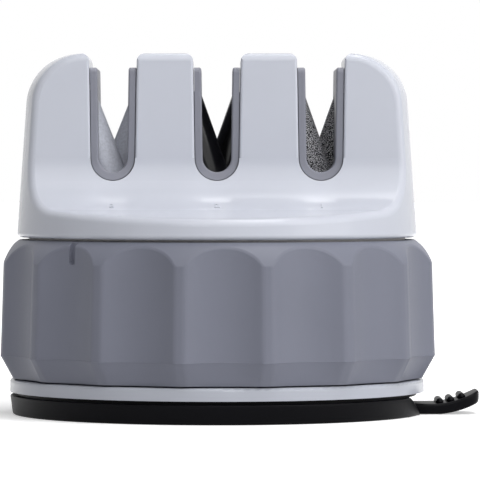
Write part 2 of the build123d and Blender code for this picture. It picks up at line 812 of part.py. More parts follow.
# Bosses inside the shell's ends that take its two screws
with BuildPart() as shell_bosses:
    with BuildSketch(Plane.XY.offset(floor_top)):
        with Locations(*shell_screw_places):
            Circle(shell_boss_radius)
        Rectangle(2 * head_radius, shell_boss_web)
        Rectangle(2 * shell_boss_reach, 2 * shell_boss_radius, mode=Mode.SUBTRACT)
        with Locations(*shell_screw_places):
            Circle(shell_boss_radius)
    extrude(amount=shell_boss_height)
    add(head_form(head_wall / 2, head_bottom), mode=Mode.INTERSECT)

# Head shell: the white moulding with the slab that carries the slots and the lip at its foot
with BuildPart() as head_shell:
    add(head_form(0, head_bottom))
    fillet(head_shell.edges().filter_by(on_form_rim), head_edge_round)
    fillet(head_shell.faces().sort_by(Axis.Z)[0].edges(), head_foot_round)
    with BuildSketch(Plane.XZ):
        with Locations(*slot_places):
            add(slot_outline(slot_bottom_radius, slot_centre, head_top, slot_mouth_round))
    extrude(amount=head_radius, both=True, mode=Mode.SUBTRACT)
    add(slot_softener.part, mode=Mode.SUBTRACT)
    add(shell_cavity.part, mode=Mode.SUBTRACT)
    add(shell_bosses.part)
    with Locations((0, 0, floor_top)):
        with Locations(*shell_screw_places):
            Hole(small_screw_radius + seat_play, small_screw_grip + end_play)
head_shell.part.label = "head_shell"
export_step(head_shell.part, "parts/head_shell.step")


def rod_lean(place, side):
    """Lean of a rod from upright: the first slot's rods lean more, and front and rear rods cross."""
    return side * (fine_rod_lean if place == 0 else other_rod_lean)


def rod_plane(place, side):
    """Plane across a rod's axis at the height where the two rods of a slot cross. Side is -1 in front."""
    lean = radians(rod_lean(place, side))
    cross = Vector(slot_places[place][0], side * (rod_radius + rod_gap / 2), head_bottom + rod_cross_height)
    across = Vector(cos(lean), 0, -sin(lean)) * side
    along = Vector(sin(lean), 0, cos(lean))
    return Plane(cross + across * rod_radius, x_dir=Vector(0, side, 0), z_dir=along)


def rod_ends(place, side):
    """Distances along a rod's axis from its plane down to its foot and up to its top."""
    lean = radians(rod_lean(place, side))
    start = rod_plane(place, side).origin.Z - head_bottom
    return (rod_foot_height - start) / cos(lean), (head_height - rod_top_drop - start) / cos(lean)


def core_half(side):
    """Half of the grey core: U liners, a foot plate, an upright web and a sleeve for each rod."""
    middle = side * (core_half_depth + split_gap) / 2
    boss_places = [(-core_boss_reach, side * core_boss_offset), (core_boss_reach, side * core_boss_offset)]
    with BuildPart() as bulk:
        with BuildSketch(Plane.XY.offset(floor_top)):
            with Locations((0, middle)):
                Rectangle(2 * core_half_length, core_half_depth - split_gap)
        extrude(amount=core_foot_thickness)
        with BuildSketch(Plane.XY.offset(floor_top)):
            with Locations((0, side * (core_half_depth - core_web_thickness / 2))):
                Rectangle(2 * core_half_length, core_web_thickness)
        extrude(amount=head_top - core_web_drop - floor_top)
        with BuildSketch(Plane.XY.offset(floor_top)):
            with Locations(*boss_places):
                Circle(core_boss_radius)
        extrude(amount=core_boss_height)
        for place in range(slot_count):
            foot, top = rod_ends(place, side)
            with BuildSketch(rod_plane(place, side).offset(foot - rod_cap)):
                Circle(rod_radius + seat_play + rod_sleeve_wall)
            extrude(amount=top - foot + rod_cap)
        # a rib under each liner carries it on the foot plate
        with BuildSketch(Plane.XY.offset(floor_top)):
            with Locations(*[(slot_place[0], middle) for slot_place in slot_places]):
                Rectangle(core_web_thickness, core_half_depth - split_gap)
        extrude(amount=slot_centre - floor_top)
        add(head_form(head_wall + drop_play, head_bottom), mode=Mode.INTERSECT)
    with BuildPart() as liners:
        with BuildSketch(Plane.XZ):
            with Locations(*slot_places):
                add(slot_outline(liner_radius, slot_centre, head_top - liner_drop))
        extrude(amount=head_radius, both=True)
        add(head_form(liner_recess, head_bottom), mode=Mode.INTERSECT)
        with BuildSketch(Plane.XZ):
            with Locations(*slot_places):
                add(slot_outline(liner_bore, liner_bore_centre, head_top))
        extrude(amount=head_radius, both=True, mode=Mode.SUBTRACT)
        fillet(liners.edges().filter_by(Axis.X).group_by(Axis.Z)[-1], liner_top_round)
        bottoms = liners.faces().filter_by(GeomType.CYLINDER)
        bottoms = bottoms.filter_by(lambda face: abs(face.radius - liner_bore) < liner_gap)
        fillet(bottoms.edges().filter_by(Axis.Y, reverse=True), liner_edge_round)
    with BuildPart() as core:
        add(bulk.part)
        add(liners.part)
        with BuildSketch(Plane.XY.offset(floor_top)):
            with Locations((0, side * (split_gap + head_radius) / 2)):
                Rectangle(2 * head_radius, head_radius - split_gap)
        extrude(amount=head_height, mode=Mode.INTERSECT)
        with BuildSketch(Plane.XZ):
            with Locations(*slot_places):
                add(slot_outline(liner_bore, liner_bore_centre, head_top))
        extrude(amount=head_radius, both=True, mode=Mode.SUBTRACT)
        for place in range(slot_count):
            foot, top = rod_ends(place, side)
            with BuildSketch(rod_plane(place, side).offset(foot)):
                Circle(rod_radius + seat_play)
            extrude(amount=top - foot + overrun, mode=Mode.SUBTRACT)
        with Locations((0, 0, floor_top)):
            with Locations(*boss_places):
                Hole(small_screw_radius + seat_play, small_screw_grip + end_play)
    return core.part


# Core halves: the front one holds the front rod of each slot, the rear one the rear rod
with BuildPart() as core_front:
    add(core_half(-1))
core_front.part.label = "core_front"
export_step(core_front.part, "parts/core_front.step")

with BuildPart() as core_rear:
    add(core_half(1))
core_rear.part.label = "core_rear"
export_step(core_rear.part, "parts/core_rear.step")

# Sharpening rods: fine ceramic in the left slot, medium in the middle one, coarse in the right one
rod_grades = ["fine", "medium", "coarse"]
rod_sides = {"front": -1, "rear": 1}
for place, grade in enumerate(rod_grades):
    for where, side in rod_sides.items():
        foot, top = rod_ends(place, side)
        with BuildPart() as rod:
            with BuildSketch(rod_plane(place, side).offset(foot)):
                Circle(rod_radius)
            extrude(amount=top - foot)
            chamfer(rod.edges().filter_by(GeomType.CIRCLE), rod_end_chamfer)
        rod.part.label = f"{grade}_rod_{where}"
        export_step(rod.part, f"parts/{grade}_rod_{where}.step")
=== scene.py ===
import math

import bmesh
import bpy
from mathutils import Matrix, Vector
from mathutils.bvhtree import BVHTree


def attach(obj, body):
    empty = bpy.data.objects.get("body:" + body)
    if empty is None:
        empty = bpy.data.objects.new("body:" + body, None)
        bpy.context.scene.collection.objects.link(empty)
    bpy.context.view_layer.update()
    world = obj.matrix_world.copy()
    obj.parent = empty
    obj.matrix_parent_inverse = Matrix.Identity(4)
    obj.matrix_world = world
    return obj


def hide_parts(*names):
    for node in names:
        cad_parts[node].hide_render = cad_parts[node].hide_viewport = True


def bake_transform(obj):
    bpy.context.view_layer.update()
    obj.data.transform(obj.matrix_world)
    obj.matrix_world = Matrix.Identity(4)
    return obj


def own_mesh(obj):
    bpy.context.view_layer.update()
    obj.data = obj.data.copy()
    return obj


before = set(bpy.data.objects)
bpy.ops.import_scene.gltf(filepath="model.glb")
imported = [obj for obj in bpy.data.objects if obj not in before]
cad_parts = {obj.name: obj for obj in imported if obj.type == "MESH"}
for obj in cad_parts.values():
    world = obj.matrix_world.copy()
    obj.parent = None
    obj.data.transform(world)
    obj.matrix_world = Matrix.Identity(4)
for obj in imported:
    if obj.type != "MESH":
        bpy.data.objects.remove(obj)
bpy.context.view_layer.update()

mm = 0.001

# Studio: a pale floor that runs out to a white surround, a broad soft lamp high in front, a second
# one on the right and a narrow one almost straight above for the tops. The long lens stands 0.8 m
# away, level with the lower part of the head, as in the photograph.
camera_distance = 0.8
camera_height = 0.0474
lens_length = 301.65
camera_data = bpy.data.cameras.new("camera")
camera_data.lens = lens_length
camera_data.sensor_width = 36
camera_data.shift_x = 0.0481
camera_data.shift_y = -0.1365
camera_data.clip_start = 0.05
camera_data.clip_end = 20
camera = bpy.data.objects.new("camera", camera_data)
bpy.context.scene.collection.objects.link(camera)
camera.location = (0, -camera_distance, camera_height)
camera.rotation_euler = (math.radians(90), 0, 0)
bpy.context.scene.camera = camera
bpy.context.scene.view_settings.view_transform = "Standard"


def soft_lamp(name, place, target, size, power):
    """Rectangular area lamp that faces a target."""
    data = bpy.data.lights.new(name, "AREA")
    data.shape = "RECTANGLE"
    data.size, data.size_y = size
    data.energy = power
    lamp = bpy.data.objects.new(name, data)
    bpy.context.scene.collection.objects.link(lamp)
    lamp.location = place
    lamp.rotation_euler = (Vector(target) - Vector(place)).to_track_quat("-Z", "Y").to_euler()


lamp_target = (0, 0, 0.04)
soft_lamp("key_lamp", (0.3, -0.8, 1.0), lamp_target, (1.6, 1.2), 13.4)
soft_lamp("side_lamp", (1.15, -0.55, 0.5), lamp_target, (0.9, 0.9), 6.0)
soft_lamp("top_lamp", (0.2, 0.05, 1.15), lamp_target, (0.9, 0.35), 6.6)


def new_material(name):
    """Empty node material with a Principled shader on its output."""
    material = bpy.data.materials.new(name)
    material.use_nodes = True
    tree = material.node_tree
    tree.nodes.clear()
    output = tree.nodes.new("ShaderNodeOutputMaterial")
    shader = tree.nodes.new("ShaderNodeBsdfPrincipled")
    tree.links.new(shader.outputs["BSDF"], output.inputs["Surface"])
    return material, tree, shader


def add_node(tree, kind, **settings):
    """Adds a node and sets its named inputs and properties."""
    node = tree.nodes.new(kind)
    for key, value in settings.items():
        if key in node.inputs:
            node.inputs[key].default_value = value
        else:
            setattr(node, key, value)
    return node


world = bpy.data.worlds.new("studio_world")
world.use_nodes = True
sky = world.node_tree
sky.nodes.clear()
sky_output = sky.nodes.new("ShaderNodeOutputWorld")
ambient = add_node(sky, "ShaderNodeBackground", Color=(0.93, 0.95, 1.0, 1), Strength=0.04)
white = add_node(sky, "ShaderNodeBackground", Color=(1, 1, 1, 1), Strength=1.0)
path = sky.nodes.new("ShaderNodeLightPath")
seen = add_node(sky, "ShaderNodeMath", operation="MAXIMUM")
seen_too = add_node(sky, "ShaderNodeMath", operation="MAXIMUM")
mix = sky.nodes.new("ShaderNodeMixShader")
sky.links.new(path.outputs["Is Camera Ray"], seen.inputs[0])
sky.links.new(path.outputs["Is Transmission Ray"], seen.inputs[1])
sky.links.new(seen.outputs[0], seen_too.inputs[0])
sky.links.new(path.outputs["Is Glossy Ray"], seen_too.inputs[1])
sky.links.new(seen_too.outputs[0], mix.inputs["Fac"])
sky.links.new(ambient.outputs[0], mix.inputs[1])
sky.links.new(white.outputs[0], mix.inputs[2])
sky.links.new(mix.outputs[0], sky_output.inputs["Surface"])
bpy.context.scene.world = world

floor_half = 6.0
shade_start = 0.06
shade_end = 0.22
shade_level = 0.42
floor_drop = 0.00003
floor_mesh = bpy.data.meshes.new("floor")
floor_turns = ((-1, -1), (1, -1), (1, 1), (-1, 1))
floor_corners = [(x * floor_half, y * floor_half, -floor_drop) for x, y in floor_turns]
floor_mesh.from_pydata(floor_corners, [], [(0, 1, 2, 3)])
floor = bpy.data.objects.new("floor", floor_mesh)
bpy.context.scene.collection.objects.link(floor)
floor_material, floor_tree, floor_shader = new_material("floor_paper")
floor_shader.inputs["Base Color"].default_value = (0.85, 0.85, 0.85, 1)
floor_shader.inputs["Roughness"].default_value = 0.9
floor_shader.inputs["Specular IOR Level"].default_value = 0.1
floor_path = floor_tree.nodes.new("ShaderNodeLightPath")
floor_glow = add_node(floor_tree, "ShaderNodeEmission", Color=(1, 1, 1, 1))
floor_seen = add_node(floor_tree, "ShaderNodeMath", operation="MAXIMUM")
floor_gain = add_node(floor_tree, "ShaderNodeMath", operation="MULTIPLY")
floor_place = floor_tree.nodes.new("ShaderNodeTexCoord")
floor_reach = add_node(floor_tree, "ShaderNodeVectorMath", operation="LENGTH")
floor_fade = add_node(floor_tree, "ShaderNodeMapRange", interpolation_type="SMOOTHSTEP")
floor_fade.inputs["From Min"].default_value = shade_start
floor_fade.inputs["From Max"].default_value = shade_end
floor_fade.inputs["To Min"].default_value = shade_level
floor_sum = floor_tree.nodes.new("ShaderNodeAddShader")
floor_tree.links.new(floor_place.outputs["Object"], floor_reach.inputs[0])
floor_tree.links.new(floor_reach.outputs["Value"], floor_fade.inputs["Value"])
floor_tree.links.new(floor_fade.outputs["Result"], floor_gain.inputs[1])
floor_tree.links.new(floor_path.outputs["Is Camera Ray"], floor_seen.inputs[0])
floor_tree.links.new(floor_path.outputs["Is Glossy Ray"], floor_seen.inputs[1])
floor_tree.links.new(floor_seen.outputs[0], floor_gain.inputs[0])
floor_tree.links.new(floor_gain.outputs[0], floor_glow.inputs["Strength"])
floor_tree.links.new(floor_shader.outputs["BSDF"], floor_sum.inputs[0])
floor_tree.links.new(floor_glow.outputs[0], floor_sum.inputs[1])
floor_tree.links.new(floor_sum.outputs[0], floor_tree.nodes["Material Output"].inputs["Surface"])
floor_mesh.materials.append(floor_material)

# Suction pad: one moulding of black rubber. Its thick rim sits under the white ring, a thin skin
# spans the middle, and the tab with three finger ribs stands in a notch of the rim on the right.
pad_radius = 41.0
pad_taper = 0.4
pad_rim_height = 3.8
pad_top = 4.5
pad_neck = 39.6
pad_bore = 34.0
pad_skin = 2.0
pad_foot_round = 0.45
pad_edge_round = 0.3
notch_plane = 37.6
notch_foot_half = 6.5
notch_top_half = 15.5
notch_turn = 24
least_ledge = 0.15
bead_width = 2
merge_gap = 0.002
sliver_gap = 0.001
smooth_limit = 40


def mesh_piece(name, points, faces, material, smooth_angle=smooth_limit):
    """Mesh object from points in millimetres, its doubles merged and its faces smoothed by angle."""
    mesh = bpy.data.meshes.new(name)
    mesh.from_pydata([(x * mm, y * mm, z * mm) for x, y, z in points], [], faces)
    build = bmesh.new()
    build.from_mesh(mesh)
    bmesh.ops.remove_doubles(build, verts=build.verts, dist=merge_gap * mm)
    bmesh.ops.dissolve_degenerate(build, edges=build.edges, dist=sliver_gap * mm)
    bmesh.ops.recalc_face_normals(build, faces=build.faces)
    build.to_mesh(mesh)
    build.free()
    mesh.materials.append(material)
    mesh.shade_smooth()
    mesh.set_sharp_from_angle(angle=math.radians(smooth_angle))
    piece = bpy.data.objects.new(name, mesh)
    bpy.context.scene.collection.objects.link(piece)
    return piece


def grid_faces(columns, rows, close_columns=True, close_rows=True):
    """Quads of a grid whose points are listed column by column."""
    faces = []
    for column in range(columns if close_columns else columns - 1):
        following = (column + 1) % columns
        for row in range(rows if close_rows else rows - 1):
            upper = (row + 1) % rows
            faces.append(
                (
                    column * rows + row,
                    following * rows + row,
                    following * rows + upper,
                    column * rows + upper,
                )
            )
    return faces


def arc(centre, radius, start, end, steps):
    """Points of an arc in a radius and height plane, angles in degrees."""
    points = []
    for step in range(steps + 1):
        angle = math.radians(start + (end - start) * step / steps)
        points.append((centre[0] + radius * math.cos(angle), centre[1] + radius * math.sin(angle)))
    return points


def noise_finish(name, colour, shades, stops, cloud, grain, gloss, bump, gloss_noise="grain"):
    """Finish whose colour follows a cloudy noise, and whose gloss and bump follow a fine grain."""
    material, tree, shader = new_material(name)
    place = tree.nodes.new("ShaderNodeTexCoord")
    noises = {}
    for noise, (scale, detail) in (("cloud", cloud), ("grain", grain)):
        noises[noise] = add_node(tree, "ShaderNodeTexNoise", Scale=scale, Detail=detail)
        tree.links.new(place.outputs["Object"], noises[noise].inputs["Vector"])
    tint = tree.nodes.new("ShaderNodeValToRGB")
    for element, stop, shade in zip(tint.color_ramp.elements, stops, shades):
        element.position = stop
        element.color = (*[channel * shade for channel in colour], 1)
    shine = tree.nodes.new("ShaderNodeMapRange")
    shine.inputs["To Min"].default_value, shine.inputs["To Max"].default_value = gloss
    relief = add_node(tree, "ShaderNodeBump", Strength=bump[0], Distance=bump[1])
    tree.links.new(noises["cloud"].outputs["Fac"], tint.inputs["Fac"])
    tree.links.new(tint.outputs["Color"], shader.inputs["Base Color"])
    tree.links.new(noises[gloss_noise].outputs["Fac"], shine.inputs["Value"])
    tree.links.new(shine.outputs["Result"], shader.inputs["Roughness"])
    tree.links.new(noises["grain"].outputs["Fac"], relief.inputs["Height"])
    tree.links.new(relief.outputs["Normal"], shader.inputs["Normal"])
    return material, shader


pad_rubber, pad_shader = noise_finish(
    "pad_rubber",
    colour=(0.002, 0.002, 0.003),
    shades=(0.75, 1.3),
    stops=(0, 1),
    cloud=(90.0, 3.0),
    grain=(3500.0, 2.0),
    gloss=(0.34, 0.48),
    bump=(0.12, 0.00004),
    gloss_noise="cloud",
)
pad_shader.inputs["Specular IOR Level"].default_value = 0.06

sole_steps = 6
foot_steps = 3
wall_steps = 5
neck_steps = 4
arc_steps = 4
round_share = 0.45


def rim_section(turn):
    """Closed section of the rim as (radius, height) points, at an angle from the tab in radians."""
    across = abs(pad_radius * math.sin(turn)) if math.cos(turn) > 0 else pad_radius
    share = (across - notch_foot_half) / (notch_top_half - notch_foot_half)
    ledge = pad_rim_height * min(max(share, 0), 1)
    inner = pad_neck if share >= 1 else notch_plane / math.cos(turn)
    full = ledge > least_ledge
    if not full:
        ledge = 0
    outer = pad_radius - pad_taper * (1 - ledge / pad_rim_height)
    round_limit = ledge * round_share
    foot = min(pad_foot_round, round_limit)
    edge = min(pad_edge_round, round_limit)
    points = [(pad_bore + (inner - pad_bore) * step / sole_steps, 0) for step in range(sole_steps)]
    if full:
        foot_line = pad_radius - pad_taper
        for step in range(foot_steps):
            points.append((inner + (foot_line - foot - inner) * step / foot_steps, 0))
        points += arc((foot_line - foot, foot), foot, -90, 0, arc_steps)
        for step in range(1, wall_steps):
            rise = foot + (ledge - edge - foot) * step / wall_steps
            points.append((foot_line + (outer - foot_line) * step / wall_steps, rise))
        points += arc((outer - edge, ledge - edge), edge, 0, 90, arc_steps)
        for step in range(1, foot_steps):
            points.append((outer - edge + (inner - outer + edge) * step / foot_steps, ledge))
    else:
        points += [(inner, 0)] * (2 * foot_steps + wall_steps + 2 * arc_steps)
    for step in range(neck_steps + 1):
        points.append((inner, ledge + (pad_rim_height - ledge) * step / neck_steps))
    points.append((pad_neck, pad_rim_height))
    points.append((pad_neck, pad_top))
    points.append((pad_bore + bead_width, pad_top))
    points.append((pad_bore, pad_top))
    points.append((pad_bore, pad_skin))
    return points


fine_turn = 0.25
coarse_turn = 2
fine_steps = round(2 * notch_turn / fine_turn)
coarse_steps = round((360 - 2 * notch_turn) / coarse_turn)
rim_turns = [math.radians(-notch_turn + fine_turn * step) for step in range(fine_steps)]
rim_turns += [math.radians(notch_turn + coarse_turn * step) for step in range(coarse_steps)]
rim_points = []
for turn in rim_turns:
    section = rim_section(turn)
    rim_points += [(r * math.cos(turn), r * math.sin(turn), z) for r, z in section]
rim_rows = len(section)
pad_rim = mesh_piece("pad_rim", rim_points, grid_faces(len(rim_turns), rim_rows), pad_rubber)

tab_start = 36.9
tab_root = 40.6
tab_bend = 42.6
tab_end = 51.9
tab_lift = 2.4
tab_root_thickness = 2.1
tab_tip_thickness = 2.5
tab_half_width = 6.0
tab_corner = 3.0
tab_edge = 0.6
tab_clear = 0.06
tab_side_share = 0.2
tab_corner_share = 0.98


def tab_heights(reach):
    """Bottom and top of the tab at a distance from the axis."""
    share = max(0, reach - tab_bend) / (tab_end - tab_bend)
    bottom = max(tab_clear, tab_lift * share**2)
    top_lift = tab_lift + tab_tip_thickness - tab_root_thickness
    return bottom, tab_root_thickness + top_lift * share**2


tab_steps = 36
tip_steps = 22
edge_steps = 5
tip_gap = 0.003
tab_points = []
tab_straight = tab_end - tab_corner - tab_start
tab_stations = [tab_start + tab_straight * step / tab_steps for step in range(tab_steps)]
for step in range(tip_steps):
    tab_stations.append(tab_end - tab_corner * math.cos(math.radians(90 * step / tip_steps)))
tab_stations.append(tab_end - tip_gap)
for reach in tab_stations:
    bottom, top = tab_heights(reach)
    half_width = tab_half_width
    into_corner = reach - (tab_end - tab_corner)
    if into_corner > 0:
        half_width += math.sqrt(max(tab_corner**2 - into_corner**2, 0)) - tab_corner
    into_edge = reach - (tab_end - tab_edge)
    shrink = tab_edge - math.sqrt(max(tab_edge**2 - into_edge**2, 0)) if into_edge > 0 else 0
    bottom += shrink
    top -= shrink
    half_width -= shrink * tab_side_share
    middle_height = (bottom + top) / 2
    half_height = (top - bottom) / 2
    corner = min(tab_edge, half_height * tab_corner_share)
    for quarter, (side_y, side_z) in enumerate(((1, -1), (1, 1), (-1, 1), (-1, -1))):
        for y, z in arc((0, 0), corner, quarter * 90 - 90, quarter * 90, edge_steps):
            centre_y = side_y * (half_width - corner)
            centre_z = middle_height + side_z * (half_height - corner)
            tab_points.append((reach, centre_y + y, centre_z + z))
tab_rows = 4 * (edge_steps + 1)
tab_faces = grid_faces(len(tab_stations), tab_rows, close_columns=False)
tab_faces.append(tuple(range(tab_rows)))
last_row = (len(tab_stations) - 1) * tab_rows
tab_faces.append(tuple(range(last_row, last_row + tab_rows)))
pad_tab = mesh_piece("pad_tab", tab_points, tab_faces, pad_rubber)


def node_group(name, sizes):
    """Geometry Nodes group with named number inputs and one geometry output."""
    group = bpy.data.node_groups.new(name, "GeometryNodeTree")
    group.interface.new_socket(name="Geometry", in_out="INPUT", socket_type="NodeSocketGeometry")
    for size_name, value in sizes.items():
        socket = group.interface.new_socket(name=size_name, in_out="INPUT", socket_type="NodeSocketFloat")
        socket.default_value = value
    group.interface.new_socket(name="Geometry", in_out="OUTPUT", socket_type="NodeSocketGeometry")
    return group, group.nodes.new("NodeGroupInput"), group.nodes.new("NodeGroupOutput")


def grow(piece, group, sizes):
    """Runs a Geometry Nodes group on a piece and keeps the result as a plain mesh."""
    modifier = piece.modifiers.new(group.name, "NODES")
    modifier.node_group = group
    for item in group.interface.items_tree:
        if item.item_type == "SOCKET" and item.in_out == "INPUT" and item.name in sizes:
            modifier[item.identifier] = sizes[item.name]
    bpy.context.view_layer.update()
    grown = bpy.data.meshes.new_from_object(piece.evaluated_get(bpy.context.evaluated_depsgraph_get()))
    piece.modifiers.remove(modifier)
    piece.data = grown
    return piece


def point_cloud(name, points, turns=None):
    """Loose points in millimetres, with a turn for each as a rotation attribute."""
    mesh = bpy.data.meshes.new(name)
    mesh.from_pydata([(x * mm, y * mm, z * mm) for x, y, z in points], [], [])
    attribute = mesh.attributes.new("turn", "FLOAT_VECTOR", "POINT")
    for place, turn in enumerate(turns or [(0, 0, 0)] * len(points)):
        attribute.data[place].vector = turn
    piece = bpy.data.objects.new(name, mesh)
    bpy.context.scene.collection.objects.link(piece)
    return piece


rib_count = 3
rib_length = 9.6
rib_half_width = 0.75
rib_first = 3.5
rib_pitch = 2.15
rib_rise = 0.25
rib_widths = ((0.02, 0.55), (0.05, 0.85), (0.08, 1.0), (0.92, 1.0), (0.95, 0.85), (0.98, 0.55))
rib_end_width = 0.05
rib_rings = 48
rib_sides = 24
rib_sizes = {"Length": rib_length * mm, "Radius": rib_half_width * mm}
finger_rib, rib_in, rib_out = node_group("finger_rib", rib_sizes)
rib_line = finger_rib.nodes.new("GeometryNodeCurvePrimitiveLine")
rib_half = add_node(finger_rib, "ShaderNodeMath", operation="MULTIPLY")
rib_half.inputs[1].default_value = 0.5
rib_end = finger_rib.nodes.new("ShaderNodeCombineXYZ")
rib_minus = add_node(finger_rib, "ShaderNodeMath", operation="MULTIPLY")
rib_minus.inputs[1].default_value = -0.5
rib_start = finger_rib.nodes.new("ShaderNodeCombineXYZ")
rib_fine = add_node(finger_rib, "GeometryNodeResampleCurve", Count=rib_rings)
rib_share = finger_rib.nodes.new("GeometryNodeSplineParameter")
rib_taper = add_node(finger_rib, "ShaderNodeFloatCurve")
rib_curve = rib_taper.mapping.curves[0]
for share, width in rib_widths:
    rib_curve.points.new(share, width)
rib_curve.points[0].location = (0, rib_end_width)
rib_curve.points[-1].location = (1, rib_end_width)
rib_taper.mapping.update()
rib_radius = finger_rib.nodes.new("GeometryNodeSetCurveRadius")
rib_profile = add_node(finger_rib, "GeometryNodeCurvePrimitiveCircle", Resolution=rib_sides)
rib_tube = add_node(finger_rib, "GeometryNodeCurveToMesh")
rib_tube.inputs["Fill Caps"].default_value = True
rib_places = finger_rib.nodes.new("GeometryNodeInstanceOnPoints")
rib_real = finger_rib.nodes.new("GeometryNodeRealizeInstances")
rib_finish = finger_rib.nodes.new("GeometryNodeSetMaterial")
rib_finish.inputs["Material"].default_value = pad_rubber
link = finger_rib.links.new
link(rib_in.outputs["Length"], rib_half.inputs[0])
link(rib_in.outputs["Length"], rib_minus.inputs[0])
link(rib_half.outputs[0], rib_end.inputs["Y"])
link(rib_minus.outputs[0], rib_start.inputs["Y"])
link(rib_start.outputs[0], rib_line.inputs["Start"])
link(rib_end.outputs[0], rib_line.inputs["End"])
link(rib_line.outputs[0], rib_fine.inputs["Curve"])
link(rib_share.outputs["Factor"], rib_taper.inputs["Value"])
link(rib_fine.outputs[0], rib_radius.inputs["Curve"])
link(rib_taper.outputs[0], rib_radius.inputs["Radius"])
link(rib_in.outputs["Radius"], rib_profile.inputs["Radius"])
link(rib_radius.outputs[0], rib_tube.inputs["Curve"])
link(rib_profile.outputs["Curve"], rib_tube.inputs["Profile Curve"])
link(rib_taper.outputs[0], rib_tube.inputs["Scale"])
link(rib_in.outputs["Geometry"], rib_places.inputs["Points"])
link(rib_tube.outputs[0], rib_places.inputs["Instance"])
link(rib_places.outputs[0], rib_real.inputs[0])
link(rib_real.outputs[0], rib_finish.inputs["Geometry"])
link(rib_finish.outputs[0], rib_out.inputs["Geometry"])
rib_reaches = [tab_root + rib_first + rib_pitch * place for place in range(rib_count)]
pad_ribs = point_cloud("pad_ribs", [(reach, 0, tab_heights(reach)[1] + rib_rise) for reach in rib_reaches])
grow(pad_ribs, finger_rib, rib_sizes)


def combine(piece, operation, *others):
    """Fuses other meshes into a piece or cuts them out of it, and smooths it by angle."""
    for other in others:
        modifier = piece.modifiers.new("combine", "BOOLEAN")
        modifier.operation = operation
        modifier.solver = "EXACT"
        modifier.object = other
        bpy.context.view_layer.update()
        evaluated = piece.evaluated_get(bpy.context.evaluated_depsgraph_get())
        combined = bpy.data.meshes.new_from_object(evaluated)
        piece.modifiers.remove(modifier)
        piece.data = combined
        bpy.data.objects.remove(other)
    piece.data.shade_smooth()
    piece.data.set_sharp_from_angle(angle=math.radians(smooth_limit))
    return piece


combine(pad_rim, "UNION", pad_tab, pad_ribs)
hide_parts("suction_pad")
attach(pad_rim, "base")

boss_radius = 9.5
boss_height = 3.6
boss_edge = 0.4
stem_bore = 2.55
disc_bore = 7.05
disc_top = 2.25
disc_bottom = 0.95
boss_columns = 96
boss_profile = [(0, 0), (boss_radius, 0), (boss_radius, pad_skin)]
boss_profile += arc((boss_radius - boss_edge, boss_height - boss_edge), boss_edge, 0, 90, arc_steps)
boss_profile += [(stem_bore, boss_height), (stem_bore, disc_top), (disc_bore, disc_top)]
boss_profile += [(disc_bore, disc_bottom), (0, disc_bottom)]


def turned(profile, steps):
    """Points and faces of a profile turned about the dial's axis."""
    points = []
    for step in range(steps):
        angle = 2 * math.pi * step / steps
        points += [(r * math.cos(angle), r * math.sin(angle), z) for r, z in profile]
    return points, grid_faces(steps, len(profile), close_rows=False)


pad_boss = mesh_piece("pad_boss", *turned(boss_profile, boss_columns), pad_rubber)
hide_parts("suction_pad")
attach(pad_boss, "lifter")

sector_count = 16
sector_half = math.pi / sector_count
sector_steps = 8
ring_count = 14
skin_width = pad_bore - boss_radius
skin_reaches = [boss_radius + skin_width * ring / ring_count for ring in range(ring_count + 1)]
skin_section = [(r, 0) for r in skin_reaches] + [(r, pad_skin) for r in reversed(skin_reaches)]
rows = len(skin_section)
far_side = sector_steps * rows
skin_faces = grid_faces(sector_steps + 1, rows, close_columns=False)
for ring in range(ring_count):
    near = (ring, ring + 1, rows - 2 - ring, rows - 1 - ring)
    skin_faces.append(near)
    skin_faces.append(tuple(far_side + place for place in (near[0], near[3], near[2], near[1])))
for sector in range(sector_count):
    out_turn = 2 * math.pi * sector / sector_count
    skin_points = []
    for step in range(sector_steps + 1):
        angle = out_turn - sector_half + 2 * sector_half * step / sector_steps
        skin_points += [(r * math.cos(angle), r * math.sin(angle), z) for r, z in skin_section]
    pad_skin_piece = mesh_piece(f"pad_skin_{sector:02d}", skin_points, skin_faces, pad_rubber)
    out = Vector((math.cos(out_turn), math.sin(out_turn), 0))
    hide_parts("suction_pad")
    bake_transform(pad_skin_piece)

# Pad stud: a zinc plated steel disc moulded into the rubber, its stem screwed up into the plunger.
# The screws share its plated finish.


def plated_steel(name, colour, roughness):
    """Plated or drawn steel with fine scratches and cloudy spots."""
    material, shader = noise_finish(
        name,
        colour,
        shades=(0.8, 1),
        stops=(0, 1),
        cloud=(400.0, 4.0),
        grain=(5000.0, 2.0),
        gloss=(roughness, roughness + 0.15),
        bump=(0.1, 0.00002),
    )
    shader.inputs["Metallic"].default_value = 1.0
    return material


def dress(node, material):
    """Gives a CAD node its finish."""
    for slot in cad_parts[node].material_slots:
        slot.material = material


zinc_steel = plated_steel("zinc_steel", (0.55, 0.56, 0.58), 0.28)
dress("pad_stud", zinc_steel)

# Base plate: white moulded plastic, glossy like the head. Only its thin flange shows, between the
# dial and the pad, and the black line under it is the pad's neck.


def gloss_plastic(name, colour, roughness, specular):
    """Glossy moulded plastic with faint flow clouds and a slight orange peel."""
    material, shader = noise_finish(
        name,
        colour,
        shades=(0.975, 1),
        stops=(0.3, 0.7),
        cloud=(35.0, 2.0),
        grain=(900.0, 2.0),
        gloss=(roughness, roughness + 0.05),
        bump=(0.05, 0.00003),
    )
    shader.inputs["Specular IOR Level"].default_value = specular
    return material


base_white = gloss_plastic("base_white", (0.44, 0.458, 0.515), 0.2, specular=0.3)
dress("base_plate", base_white)

